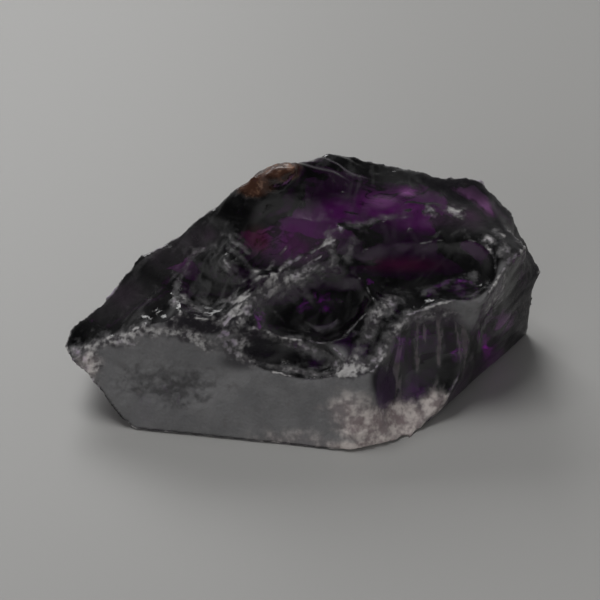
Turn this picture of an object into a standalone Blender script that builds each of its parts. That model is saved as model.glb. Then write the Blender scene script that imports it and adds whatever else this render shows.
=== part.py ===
"""Rough amethyst: one lump of clear, dark quartz, broken by hand from a bigger crystal.

The lump lies on a flat natural face. Broad, slightly wavy fracture faces close its outside,
shell-shaped scars are scooped out of them, and the scars meet in sharp ridges with small chips
knocked out. A rust-stained nub of skin sits on the left end of the crest. It grew and broke as
one piece, so it is one solid.

Sizes are in millimetres. Places are shares of the lump's box: of half the length to the right,
of half the depth to the back, and of the height above what it lies on.
"""

import math
import random
from typing import NamedTuple

import bmesh
import bpy
from mathutils import Euler, Matrix, Vector, noise

MM = 0.001

# Driving dimensions of the lump
LENGTH = 50.0
DEPTH = 30.0
HEIGHT = 22.0

# How finely the broad faces and the scars are meshed
FACE_CELL = 3.0
FACE_SPAN = 66.0
SCAR_EDGE = 1.3
BLOCK_MARGIN = 8.0

# Edges shorter than this are closed up
SLIVER = 0.025

# Edges that turn by more than this are sharp
SHARP_EDGE = math.radians(22)

# The swell of a broad face is one long wave of noise with a shorter one on it
SWELL_LONG = 17.0
SWELL_SHORT = 6.0
SWELL_SHORT_SHARE = 0.35

# The hollow of a scar is uneven by noise as long as this
SCAR_NOISE_LENGTH = 4.2
SCAR_NOISE = 0.28

# The bend of the whole lump, which fades out towards the base
WARP = 0.75
WARP_LENGTH = 7.0
WARP_SMALL_LENGTH = 2.6
WARP_SMALL_SHARE = 0.3
WARP_CLEAR_OF_BASE = 2.5

# Small chips broken out of the ridges
CHIP_SEED = 7
CHIP_SPACING = 2.0
CHIP_RADIUS_SMALL = 0.9
CHIP_RADIUS_LARGE = 2.6
CHIP_DEPTH_SMALL = 0.12
CHIP_DEPTH_LARGE = 0.42
CHIP_CLEAR_OF_BASE = 1.2
CHIP_SHARE = 0.85

# The pitted patch at the left of the front face
PIT_SEED = 4
PIT_PATCH_AT = (-0.524, -0.655, 0.205)
PIT_COUNT = 24
PIT_SPREAD = 4.0
PIT_RADIUS = 0.6

# The rust-stained nub of skin on the crest
NUB_AT = (-0.118, 0.35, 0.885)
NUB_HALF_SIZE = (3.2, 1.9, 1.3)
NUB_TILT = math.radians(-38)
NUB_LUMPS = 0.45
NUB_LUMP_LENGTH = 1.7

CRYSTAL_COLOUR = (0.022, 0.012, 0.03, 1.0)
CRYSTAL_ROUGHNESS = 0.15


class Face(NamedTuple):
    """A broad fracture face: a place on it, the way it faces, and the height of its swell."""

    at: tuple
    facing: tuple
    swell: float = 0.3


class Scar(NamedTuple):
    """A shell-shaped scar: the middle of its rim, the way it opens, its size and its ripples.

    turn is the angle, in degrees, between its length and the level line across its rim.
    """

    at: tuple
    facing: tuple
    length: float
    width: float
    depth: float
    turn: float = 0.0
    ripple: float = 0.03
    pitch: float = 2.4


FACES = {
    "front": Face((-0.684, -0.753, 0), (-0.15, -0.885, 0.44), 0.25),
    "front_right": Face((0.204, -1.01, 0), (0.29, -0.865, 0.41), 0.25),
    "top": Face((0.18, -0.767, 0.327), (0.03, -0.6, 0.8), 0.35),
    "left_slope": Face((-0.656, -0.46, 0.43), (-0.36, -0.4, 0.84), 0.35),
    "left_tip": Face((-0.983, -0.268, 0.348), (-0.9, 0.35, 0.3), 0.2),
    "left_under": Face((-0.7, -0.755, -0.02), (-0.7, -0.1, -0.7), 0.25),
    "right_front": Face((0.656, -0.453, 0), (0.75, -0.6, -0.09), 0.25),
    "right_end": Face((1.060, 0.222, 0.362), (0.86, -0.35, -0.15), 0.3),
    "right_brow": Face((1.044, 0.272, 0.530), (0.94, 0.09, 0.37), 0.25),
    "right_shoulder": Face((0.94, 0.424, 0.8), (0.71, 0.2, 0.69), 0.3),
    "crest": Face((0.056, 0.553, 0.938), (0.205, -0.15, 0.97), 0.25),
    "back_top": Face((0.322, 0.683, 0.872), (0.10, 0.8, 0.58), 0.4),
    "back_left": Face((-0.200, 0.372, 0.853), (-0.495, 0.71, 0.535), 0.35),
    "back_left_low": Face((-0.48, 0.56, 0.23), (-0.48, 0.86, -0.14), 0.5),
    "back_low": Face((0.16, 0.987, 0.341), (0.1, 0.98, -0.2), 0.45),
    "back_right": Face((0.822, 0.676, 0.411), (0.66, 0.75, 0.05), 0.45),
}

SCARS = {
    "window": Scar((0.500, -0.570, 0.350), (0.42, -0.86, 0.28), 14.8, 12.0, 1.9, 48),
    "right_hollow": Scar((0.524, -0.173, 0.618), (0.03, -0.60, 0.80), 15.0, 9.0, 2.1, 3),
    "violet_hollow": Scar((-0.048, -0.007, 0.727), (0.00, -0.60, 0.80), 11.0, 8.8, 1.8, 20),
    "left_hollow": Scar((-0.392, -0.287, 0.573), (-0.13, -0.48, 0.87), 9.2, 6.2, 1.6, -27),
    "middle_hollow": Scar((0.040, -0.360, 0.541), (0.06, -0.58, 0.80), 13.8, 9.0, 2.4, 10),
    "notch": Scar((-0.056, -0.667, 0.391), (0.05, -0.74, 0.67), 12.2, 5.0, 2.3, -12),
    "upper_band": Scar((0.460, 0.133, 0.777), (0.03, -0.60, 0.80), 17.5, 6.8, 1.2, -3),
    "slope_long": Scar((-0.600, -0.197, 0.531), (-0.36, -0.40, 0.84), 14.9, 6.5, 0.7, 69),
    "slope_low": Scar((-0.654, -0.342, 0.458), (-0.36, -0.40, 0.84), 8.4, 4.2, 0.5, 49),
    "step_high": Scar((-0.315, -0.010, 0.730), (-0.36, -0.40, 0.84), 8.4, 2.2, 0.4, -3),
    "step_low": Scar((-0.361, -0.104, 0.677), (-0.36, -0.40, 0.84), 9.9, 2.4, 0.45, -3),
    "ridge_flank": Scar((-0.269, -0.332, 0.569), (-0.26, -0.58, 0.77), 7.6, 3.0, 0.55, 85),
    "left_strip": Scar((-0.421, -0.597, 0.440), (-0.07, -0.60, 0.80), 9.4, 4.4, 1.0, -8),
    "saddle": Scar((0.230, -0.224, 0.603), (0.03, -0.60, 0.80), 8.5, 3.8, 0.8, -84),
    "bruised_ridge": Scar((0.281, -0.581, 0.418), (0.12, -0.65, 0.75), 6.4, 3.2, 0.5, 44),
    "crest_ledge_low": Scar((0.328, 0.332, 0.849), (0.20, -0.15, 0.97), 16.7, 3.4, 0.5, -49),
    "crest_ledge_high": Scar((0.443, 0.478, 0.838), (0.20, -0.15, 0.97), 16.1, 3.0, 0.45, -53),
    "crest_end": Scar((0.029, 0.213, 0.907), (0.10, -0.34, 0.94), 9.0, 3.4, 0.6, 8),
    "end_shoulder": Scar((0.852, 0.400, 0.755), (0.71, 0.20, 0.69), 6.5, 4.0, 0.4, 25),
    "end_high": Scar((0.968, 0.293, 0.573), (0.90, 0.05, 0.43), 7.0, 4.4, 0.35, 60),
    "end_middle": Scar((1.020, 0.200, 0.300), (0.86, -0.35, -0.12), 7.0, 4.2, 0.3, 70),
    "end_low": Scar((0.815, -0.195, 0.330), (0.78, -0.62, -0.09), 6.4, 3.4, 0.5, 51),
    "back_crest": Scar((0.360, 0.820, 0.690), (0.12, 0.84, 0.53), 18.0, 9.0, 1.7, 6),
    "back_left": Scar((-0.380, 0.467, 0.559), (-0.58, 0.66, 0.47), 17.0, 10.0, 1.9, -30),
    "back_corner": Scar((-0.440, 0.633, 0.205), (-0.46, 0.87, -0.14), 10.0, 6.5, 1.1, 10),
    "back_right": Scar((0.728, 0.760, 0.386), (0.64, 0.76, 0.06), 12.0, 9.0, 1.6, 60),
    "back_foot": Scar((0.120, 0.973, 0.250), (0.10, 0.98, -0.20), 13.0, 7.5, 1.1, 4),
    "tip_back": Scar((-0.800, -0.040, 0.418), (-0.70, 0.60, 0.38), 6.5, 4.2, 0.35, -40),
}


def place(at):
    """The point, in millimetres, at these shares of the lump's box."""
    across, back, up = at
    return Vector((across * LENGTH / 2, back * DEPTH / 2, up * HEIGHT))


def standing_on(at, facing, turn=0.0):
    """The matrix that carries +Z to a direction at a place, with +X level and then turned."""
    outward = Vector(facing).normalized()
    level = Vector((0, 0, 1)).cross(outward)
    if level.length < 0.05:
        level = Vector((1, 0, 0))
    level.normalize()
    upward = outward.cross(level)
    axes = Matrix((level, upward, outward)).transposed().to_4x4()
    spin = Matrix.Rotation(math.radians(turn), 4, "Z")
    return Matrix.Translation(place(at)) @ axes @ spin


def object_of(name, bm):
    """A new object, in metres, from a bmesh in millimetres. The bmesh is freed."""
    bmesh.ops.recalc_face_normals(bm, faces=bm.faces)
    bmesh.ops.scale(bm, vec=(MM, MM, MM), verts=bm.verts)
    mesh = bpy.data.meshes.new(name)
    bm.to_mesh(mesh)
    bm.free()
    return bpy.data.objects.new(name, mesh)


def seat_of(name):
    """A place in the noise that differs from one name to the next."""
    return Vector((len(name) * 3.1, ord(name[0]), ord(name[-1])))


def face_cutter(name, face):
    """A thick slab whose inner side is a broad face of the lump."""
    bm = bmesh.new()
    cells = round(FACE_SPAN / FACE_CELL)
    bmesh.ops.create_grid(bm, x_segments=cells, y_segments=cells, size=FACE_SPAN / 2)
    seat = seat_of(name)
    for vert in bm.verts:
        long_wave = noise.noise(vert.co / SWELL_LONG + seat)
        short_wave = noise.noise(vert.co / SWELL_SHORT + seat)
        vert.co.z = face.swell * (long_wave + SWELL_SHORT_SHARE * short_wave)
    grown = bmesh.ops.extrude_face_region(bm, geom=bm.faces[:])
    for item in grown["geom"]:
        if isinstance(item, bmesh.types.BMVert):
            item.co.z = FACE_SPAN / 2
    bmesh.ops.transform(bm, matrix=standing_on(face.at, face.facing), verts=bm.verts)
    return object_of(f"face_{name}", bm)


def scar_cutter(name, scar):
    """An ellipsoid, rippled in rings about one end of the scar, that scoops out the scar."""
    half_width = scar.width / 2
    radius = (half_width**2 + scar.depth**2) / (2 * scar.depth)
    stretch = scar.length / scar.width
    bm = bmesh.new()
    halvings = math.log2(1.05 * radius * math.sqrt(stretch) / SCAR_EDGE)
    divisions = max(2, min(6, 1 + round(halvings)))
    bmesh.ops.create_icosphere(bm, subdivisions=divisions, radius=radius)
    struck = Vector((-half_width * stretch, 0, 0))
    seat = seat_of(name)
    for vert in bm.verts:
        outward = vert.co.normalized()
        vert.co.x *= stretch
        vert.co.z += radius - scar.depth
        rings = math.sin(2 * math.pi * (vert.co - struck).length / scar.pitch)
        lumps = noise.noise(vert.co / SCAR_NOISE_LENGTH + seat)
        vert.co += outward * (scar.ripple * rings + SCAR_NOISE * scar.depth * lumps)
    seated = standing_on(scar.at, scar.facing, scar.turn)
    bmesh.ops.transform(bm, matrix=seated, verts=bm.verts)
    return object_of(f"scar_{name}", bm)


def glassy():
    """The look of the lump at a step away: near-black violet glass."""
    material = bpy.data.materials.new("amethyst")
    material.use_nodes = True
    shader = material.node_tree.nodes["Principled BSDF"]
    shader.inputs["Base Color"].default_value = CRYSTAL_COLOUR
    shader.inputs["Roughness"].default_value = CRYSTAL_ROUGHNESS
    shader.inputs["Metallic"].default_value = 0.0
    return material


def rough_block():
    """The block that the faces are cut from. Its underside is the face that the lump lies on."""
    bm = bmesh.new()
    bmesh.ops.create_cube(bm, size=1.0)
    sides = (LENGTH + BLOCK_MARGIN, DEPTH + BLOCK_MARGIN, HEIGHT + BLOCK_MARGIN)
    bmesh.ops.scale(bm, vec=sides, verts=bm.verts)
    bmesh.ops.translate(bm, vec=(0, 0, sides[2] / 2), verts=bm.verts)
    stone = object_of("amethyst", bm)
    bpy.context.scene.collection.objects.link(stone)
    return stone


def carve(stone, tools, operation="DIFFERENCE"):
    """Cuts the tools from the stone, or joins them to it, and removes them."""
    bench = bpy.data.collections.new("bench")
    bpy.context.scene.collection.children.link(bench)
    for tool in tools:
        tool.hide_render = True
        tool.display_type = "WIRE"
        bench.objects.link(tool)
    modifier = stone.modifiers.new("carve", "BOOLEAN")
    modifier.operation = operation
    modifier.solver = "EXACT"
    modifier.operand_type = "COLLECTION"
    modifier.collection = bench
    bpy.context.view_layer.update()
    graph = bpy.context.evaluated_depsgraph_get()
    carved = bpy.data.meshes.new_from_object(stone.evaluated_get(graph))
    stone.modifiers.clear()
    stone.data = carved
    for tool in tools:
        bpy.data.objects.remove(tool)
    bpy.data.collections.remove(bench)


def ridge_places(stone):
    """Places along the sharp outward edges of the stone, in millimetres, with their normals."""
    bm = bmesh.new()
    bm.from_mesh(stone.data)
    bm.normal_update()
    found = []
    for edge in bm.edges:
        if not edge.is_manifold or edge.calc_face_angle_signed() < SHARP_EDGE:
            continue
        start, end = (vert.co / MM for vert in edge.verts)
        if min(start.z, end.z) < CHIP_CLEAR_OF_BASE:
            continue
        normal = (edge.link_faces[0].normal + edge.link_faces[1].normal).normalized()
        steps = max(1, round((end - start).length / CHIP_SPACING))
        for step in range(steps):
            spot = start.lerp(end, (step + 0.5) / steps)
            found.append((tuple(round(value, 3) for value in spot), normal.copy()))
    bm.free()
    found.sort(key=lambda item: item[0])
    return found


def chip_cutters(stone):
    """Small uneven pebbles, spaced along the ridges, that break little chips out of them."""
    random.seed(CHIP_SEED)
    places = ridge_places(stone)
    random.shuffle(places)
    taken = []
    cutters = []
    for spot, normal in places:
        point = Vector(spot)
        if any((point - other).length < CHIP_SPACING for other in taken):
            continue
        taken.append(point)
        if random.random() > CHIP_SHARE:
            continue
        radius = random.uniform(CHIP_RADIUS_SMALL, CHIP_RADIUS_LARGE)
        bm = bmesh.new()
        bmesh.ops.create_icosphere(bm, subdivisions=2, radius=radius)
        turn = Euler([random.uniform(0, math.tau) for axis in range(3)]).to_matrix().to_4x4()
        depth = random.uniform(CHIP_DEPTH_SMALL, CHIP_DEPTH_LARGE)
        away = Matrix.Translation(point + normal * (radius - depth))
        bmesh.ops.transform(bm, matrix=away @ turn, verts=bm.verts)
        cutters.append(object_of("chip", bm))
    return cutters


def pit_cutters():
    """Shallow pits that roughen one patch of the front face."""
    random.seed(PIT_SEED)
    patch = standing_on(PIT_PATCH_AT, FACES["front"].facing)
    cutters = []
    for pit in range(PIT_COUNT):
        radius = PIT_RADIUS * random.uniform(0.6, 1.3)
        bm = bmesh.new()
        bmesh.ops.create_icosphere(bm, subdivisions=2, radius=radius)
        across = random.gauss(0, PIT_SPREAD / 2)
        along = random.gauss(0, PIT_SPREAD / 3)
        sunk = Matrix.Translation((across, along, radius * random.uniform(0.55, 0.8)))
        shape = Matrix.Diagonal((random.uniform(1.0, 2.2), random.uniform(0.7, 1.1), 1, 1))
        bmesh.ops.transform(bm, matrix=patch @ sunk @ shape, verts=bm.verts)
        cutters.append(object_of("pit", bm))
    return cutters


def skin_nub():
    """The lumpy nub of iron-stained skin that is grown to the crest."""
    bm = bmesh.new()
    bmesh.ops.create_icosphere(bm, subdivisions=3, radius=1.0)
    seat = seat_of("nub")
    for vert in bm.verts:
        outward = vert.co.normalized()
        vert.co = Vector(size * part for size, part in zip(NUB_HALF_SIZE, vert.co))
        vert.co += outward * NUB_LUMPS * noise.noise(vert.co / NUB_LUMP_LENGTH + seat)
    tilt = Matrix.Rotation(NUB_TILT, 4, "Y")
    bmesh.ops.transform(bm, matrix=Matrix.Translation(place(NUB_AT)) @ tilt, verts=bm.verts)
    return object_of("nub", bm)


def drop_fins(bm):
    """Removes the faces that lie back to back on the same corners and close in nothing."""
    sharing = {}
    for face in bm.faces:
        sharing.setdefault(frozenset(face.verts), []).append(face)
    fins = [face for faces in sharing.values() if len(faces) > 1 for face in faces]
    bmesh.ops.delete(bm, geom=fins, context="FACES")


def tidy(stone):
    """Closes up the slivers that the cuts leave and shades the faces smooth between ridges."""
    bm = bmesh.new()
    bm.from_mesh(stone.data)
    bmesh.ops.triangulate(bm, faces=bm.faces)
    bmesh.ops.remove_doubles(bm, verts=bm.verts, dist=SLIVER * MM)
    bmesh.ops.dissolve_degenerate(bm, edges=bm.edges, dist=SLIVER * MM)
    bmesh.ops.triangulate(bm, faces=bm.faces)
    drop_fins(bm)
    for face in bm.faces:
        face.smooth = True
    bm.to_mesh(stone.data)
    bm.free()
    stone.data.set_sharp_from_angle(angle=SHARP_EDGE)


def drift_at(point):
    """A smooth drift along each axis, from -1 to 1, that changes from place to place."""
    return Vector([noise.noise(point + seat_of(axis)) for axis in ("along", "back", "up")])


def warp(stone):
    """Bends all ridges and hollows a little, so that none is a true circle or a straight line."""
    for vert in stone.data.vertices:
        point = vert.co / MM
        free = min(1.0, point.z / WARP_CLEAR_OF_BASE)
        drift = drift_at(point / WARP_LENGTH)
        drift += WARP_SMALL_SHARE * drift_at(point / WARP_SMALL_LENGTH)
        vert.co += drift * (WARP * free * MM)


def fit_to_box(stone):
    """Trims the lump to its length, depth and height, centred over the face that it lies on."""
    mesh = stone.data
    low = [min(vert.co[axis] for vert in mesh.vertices) for axis in range(3)]
    high = [max(vert.co[axis] for vert in mesh.vertices) for axis in range(3)]
    sides = [LENGTH * MM, DEPTH * MM, HEIGHT * MM]
    for vert in mesh.vertices:
        shares = [(vert.co[axis] - low[axis]) / (high[axis] - low[axis]) for axis in range(3)]
        vert.co = [(shares[0] - 0.5) * sides[0], (shares[1] - 0.5) * sides[1], shares[2] * sides[2]]


def main():
    for obj in list(bpy.data.objects):
        bpy.data.objects.remove(obj)
    stone = rough_block()
    carve(stone, [face_cutter(name, face) for name, face in FACES.items()])
    carve(stone, [scar_cutter(name, scar) for name, scar in SCARS.items()])
    carve(stone, chip_cutters(stone) + pit_cutters())
    carve(stone, [skin_nub()], "UNION")
    warp(stone)
    fit_to_box(stone)
    tidy(stone)
    stone.data.materials.clear()
    stone.data.materials.append(glassy())


if __name__ == "__main__":
    main()
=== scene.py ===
import logging
import math
from dataclasses import dataclass, field
from enum import Enum

import bmesh
import bpy
import numpy as np
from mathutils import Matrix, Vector, noise

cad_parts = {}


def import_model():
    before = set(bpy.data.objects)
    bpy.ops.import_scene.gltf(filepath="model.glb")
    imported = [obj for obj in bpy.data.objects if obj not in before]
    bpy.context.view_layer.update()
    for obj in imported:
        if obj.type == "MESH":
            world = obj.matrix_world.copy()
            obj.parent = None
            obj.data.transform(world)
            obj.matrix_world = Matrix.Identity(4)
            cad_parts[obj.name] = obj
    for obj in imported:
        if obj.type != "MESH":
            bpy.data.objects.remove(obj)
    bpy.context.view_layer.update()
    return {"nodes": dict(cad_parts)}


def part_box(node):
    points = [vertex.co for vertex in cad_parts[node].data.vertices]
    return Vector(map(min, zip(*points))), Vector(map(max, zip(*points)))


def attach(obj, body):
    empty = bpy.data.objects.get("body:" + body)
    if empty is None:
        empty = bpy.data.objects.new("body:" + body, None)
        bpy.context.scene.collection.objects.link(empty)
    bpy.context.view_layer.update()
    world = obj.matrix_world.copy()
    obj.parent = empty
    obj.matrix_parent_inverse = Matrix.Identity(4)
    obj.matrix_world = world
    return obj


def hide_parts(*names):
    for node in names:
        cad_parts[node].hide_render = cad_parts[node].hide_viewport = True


LOG = logging.getLogger("rough_amethyst")
MM = 0.001

# The sockets of a Mix node that mixes colours
MIX_SHARE, MIX_FIRST, MIX_SECOND, MIX_RESULT = 0, 6, 7, 2

Place = tuple[float, float, float]


class Mark(Enum):
    """What the finish reads from the lump's mesh, each from 0 to 1 at every point."""

    # Crushed crystal on ridges, partly painted glints: pale spots and beads standing in for highlights
    BRUISE = "bruise_and_glint"
    FROST = "frost"
    CRUST = "crust"
    RUST = "rust"
    VIOLET = "violet"
    # Painted pink glints: pink skin colour standing in for highlights
    GLOW = "painted_glint"
    PIT = "pit"
    REED = "reed"
    # Painted red light from inside: a reddish tint of the crystal and the skin
    EMBER = "ember"
    VEIL = "veil"
    # Dull rough skin, partly painted shade: a near-black skin colour where shade falls
    DULL = "dull"


class Grain(Enum):
    """The noises of the finish: the size of their lumps in millimetres, and their detail."""

    FINE = (0.30, 3.0)
    BEAD = (0.55, 2.0)
    MEDIUM = (0.70, 2.0)
    COARSE = (1.10, 3.0)
    PATCH = (3.00, 2.0)


@dataclass(frozen=True)
class Ramp:
    """A soft step from 0 at low to 1 at high."""

    low: float
    high: float

    def of(self, values: np.ndarray) -> np.ndarray:
        """Returns values eased to between 0 and 1."""
        share = np.clip((values - self.low) / (self.high - self.low), 0.0, 1.0)
        return share * share * (3.0 - 2.0 * share)


@dataclass(frozen=True)
class Swing:
    """A factor that a noise swings about its middle."""

    middle: float
    swing: float

    def of(self, values: "np.ndarray | Wire") -> "np.ndarray | Wire":
        """Returns the factor where the noise has values."""
        return self.middle + self.swing * values


@dataclass(frozen=True)
class Grit:
    """An even noise in space, with lumps of a size in millimetres. Its offset moves it."""

    size: float
    octaves: int
    offset: float
    fall: float = 0.9
    finer: float = 2.1

    def at(self, points: np.ndarray) -> np.ndarray:
        """Returns the noise at points in millimetres, about -1 to 1."""
        places = map(Vector, (points / self.size + self.offset).tolist())
        return np.array([noise.fractal(place, self.fall, self.finer, self.octaves) for place in places])

    def creases(self, points: np.ndarray) -> np.ndarray:
        """Returns how deep points lie in the noise's sharp creases, 1 at their bottom."""
        places = map(Vector, (points / self.size + self.offset).tolist())
        return 1.0 - np.array([abs(noise.noise(place)) for place in places])


def unit(vector: Place) -> np.ndarray:
    """Returns vector as an array of length 1."""
    array = np.array(vector, float)
    return array / np.linalg.norm(array)


@dataclass(frozen=True)
class Spot:
    """A soft-edged place on the lump, in millimetres."""

    at: Place
    reach: Place
    strength: float = 1.0
    firmness: float = 1.5

    def weight(self, points: np.ndarray) -> np.ndarray:
        """Returns how strongly each of points lies in the spot."""
        away = ((points - np.array(self.at)) / np.array(self.reach)) ** 2
        return self.strength * np.exp(-(away.sum(axis=1) ** self.firmness))


@dataclass(frozen=True)
class Plane:
    """A broad flat face of the lump, in millimetres."""

    at: Place
    facing: Place
    slack: float = 1.6
    firm_share: float = 0.6
    turned: Ramp = Ramp(0.80, 0.93)

    def weight(self, points: np.ndarray, normals: np.ndarray) -> np.ndarray:
        """Works out how surely each point belongs to the face.

        Args:
            points: The points, in millimetres.
            normals: The way that the surface faces at each point.

        Returns:
            A weight from 0 to 1 for each point.
        """
        facing = unit(self.facing)
        off = np.abs((points - np.array(self.at)) @ facing)
        near = 1.0 - Ramp(self.firm_share * self.slack, self.slack).of(off)
        return near * self.turned.of(normals @ facing)


@dataclass(frozen=True)
class Fan:
    """Ripples and streaks of a shell-shaped fracture that spread from the struck point."""

    struck_at: Place
    middle: Place
    facing: Place
    reach: float
    pitch: float
    height: float
    streak: float = 0.4
    streak_width: float = 0.8
    turned: Ramp = Ramp(0.45, 0.75)
    wander: float = 3.5
    overtone: float = 0.35
    overtone_lead: float = 0.8
    vigour: Swing = Swing(0.65, 0.7)
    streak_grit: Grit = Grit(1.0, 2, 20.0)
    streak_edge: Ramp = Ramp(0.05, 0.45)
    streak_break: float = 0.12

    def inside(self, points: np.ndarray, normals: np.ndarray) -> np.ndarray:
        """Returns how surely each point belongs to the fan, from 0 to 1."""
        away = np.linalg.norm(points - np.array(self.middle), axis=1) / self.reach
        return np.exp(-(away**4)) * self.turned.of(normals @ unit(self.facing))

    def lift(self, points: np.ndarray, normals: np.ndarray, drift: np.ndarray) -> np.ndarray:
        """Works out how far the ripples raise the surface.

        Args:
            points: The points, in millimetres.
            normals: The way that the surface faces at each point.
            drift: A slow noise that makes the ripples uneven.

        Returns:
            The rise at each point, in millimetres.
        """
        radius = np.linalg.norm(points - np.array(self.struck_at), axis=1)
        turn = 2.0 * math.pi * radius / self.pitch + self.wander * drift
        wave = np.sin(turn) + self.overtone * np.sin(2.0 * turn + self.overtone_lead)
        return self.height * self.inside(points, normals) * wave * self.vigour.of(drift)

    def streaks(self, points: np.ndarray, normals: np.ndarray) -> np.ndarray:
        """Works out the fine lines that run out from the struck point.

        Args:
            points: The points, in millimetres.
            normals: The way that the surface faces at each point.

        Returns:
            How plain a line is at each point, from 0 to 1.
        """
        rays = points - np.array(self.struck_at)
        radius = np.linalg.norm(rays, axis=1, keepdims=True)
        across = np.linalg.norm(np.array(self.middle) - np.array(self.struck_at)) / self.streak_width
        lines = self.streak_grit.at(rays / radius * across + radius * self.streak_break)
        return self.streak * self.inside(points, normals) * self.streak_edge.of(lines)


@dataclass(frozen=True)
class Seam:
    """A line of bruised crystal along a ridge, with a hazy rim, in millimetres."""

    path: tuple[Place, ...]
    width: float = 0.7
    strength: float = 0.8
    stranded: bool = False
    fray: float = 0.5
    haze_share: float = 0.35
    haze_width: float = 0.6

    def weight(self, points: np.ndarray, uneven: np.ndarray) -> np.ndarray:
        """Works out how strongly each point lies on the seam.

        Args:
            points: The points, in millimetres.
            uneven: A noise that frays the seam.

        Returns:
            A weight for each point, up to strength.
        """
        best = np.full(len(points), np.inf)
        for start, end in zip(self.path, self.path[1:]):
            run = np.array(end) - np.array(start)
            share = np.clip((points - np.array(start)) @ run / (run @ run), 0.0, 1.0)
            off = np.linalg.norm(points - np.array(start) - share[:, None] * run, axis=1)
            best = np.minimum(best, off)
        best *= 1.0 - self.fray * uneven
        core = np.exp(-((best / self.width) ** 2))
        rim = self.haze_share * np.exp(-((best / (self.width + self.haze_width)) ** 2))
        return self.strength * np.maximum(core, rim)


class Web:
    """A mesh's points and their neighbours, for averages along the surface."""

    def __init__(self, mesh: bpy.types.Mesh) -> None:
        """Reads the edges.

        Args:
            mesh: The mesh.
        """
        flat = np.empty(len(mesh.edges) * 2, np.int32)
        mesh.edges.foreach_get("vertices", flat)
        self.first, self.second = flat.reshape(-1, 2).T
        self.size = len(mesh.vertices)
        self.count = np.maximum(np.bincount(flat, minlength=self.size), 1)

    def averaged(self, values: np.ndarray, rounds: int) -> np.ndarray:
        """Spreads values over the surface.

        Args:
            values: One row for each point.
            rounds: How many times each point takes in its neighbours.

        Returns:
            The averaged rows.
        """
        rows = values.reshape(self.size, -1).astype(float)
        for _ in range(rounds):
            spread = np.empty_like(rows)
            for column in range(rows.shape[1]):
                line = rows[:, column]
                total = np.bincount(self.first, line[self.second], self.size)
                total += np.bincount(self.second, line[self.first], self.size)
                spread[:, column] = total / self.count
            rows = (rows + spread) / 2.0
        return rows.reshape(values.shape)


class Wire:
    """A socket of a material whose maths is written as Python expressions."""

    def __init__(self, recipe: "Recipe", socket: bpy.types.NodeSocket) -> None:
        """Keeps the socket and the recipe that it belongs to."""
        self.recipe = recipe
        self.socket = socket

    def _maths(self, operation: str, *values: "Wire | float") -> "Wire":
        """Returns the result of a Math node on values."""
        return self.recipe.node("ShaderNodeMath", {"operation": operation}, dict(enumerate(values)))

    def __add__(self, other: "Wire | float") -> "Wire":
        """Returns the sum."""
        return self._maths("ADD", self, other)

    __radd__ = __add__

    def __sub__(self, other: "Wire | float") -> "Wire":
        """Returns the difference."""
        return self._maths("SUBTRACT", self, other)

    def __rsub__(self, other: float) -> "Wire":
        """Returns the difference from a number."""
        return self._maths("SUBTRACT", other, self)

    def __mul__(self, other: "Wire | float") -> "Wire":
        """Returns the product."""
        return self._maths("MULTIPLY", self, other)

    __rmul__ = __mul__

    def highest(self, other: "Wire | float") -> "Wire":
        """Returns the larger of the two."""
        return self._maths("MAXIMUM", self, other)

    def eased(self, low: float, high: float, start: float = 0.0, end: float = 1.0) -> "Wire":
        """Eases the value.

        Args:
            low: The value that becomes start.
            high: The value that becomes end.
            start: What low becomes.
            end: What high becomes.

        Returns:
            The eased value.
        """
        settings = {"interpolation_type": "SMOOTHSTEP"}
        sockets = {0: self, 1: low, 2: high, 3: start, 4: end}
        return self.recipe.node("ShaderNodeMapRange", settings, sockets)


@dataclass(frozen=True)
class Mask:
    """Shares of marks and grains, summed, lowered by less, and eased from start to end."""

    shares: dict[Mark | Grain, float]
    low: float
    high: float
    start: float = 0.0
    end: float = 1.0
    less: float = 0.0


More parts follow.
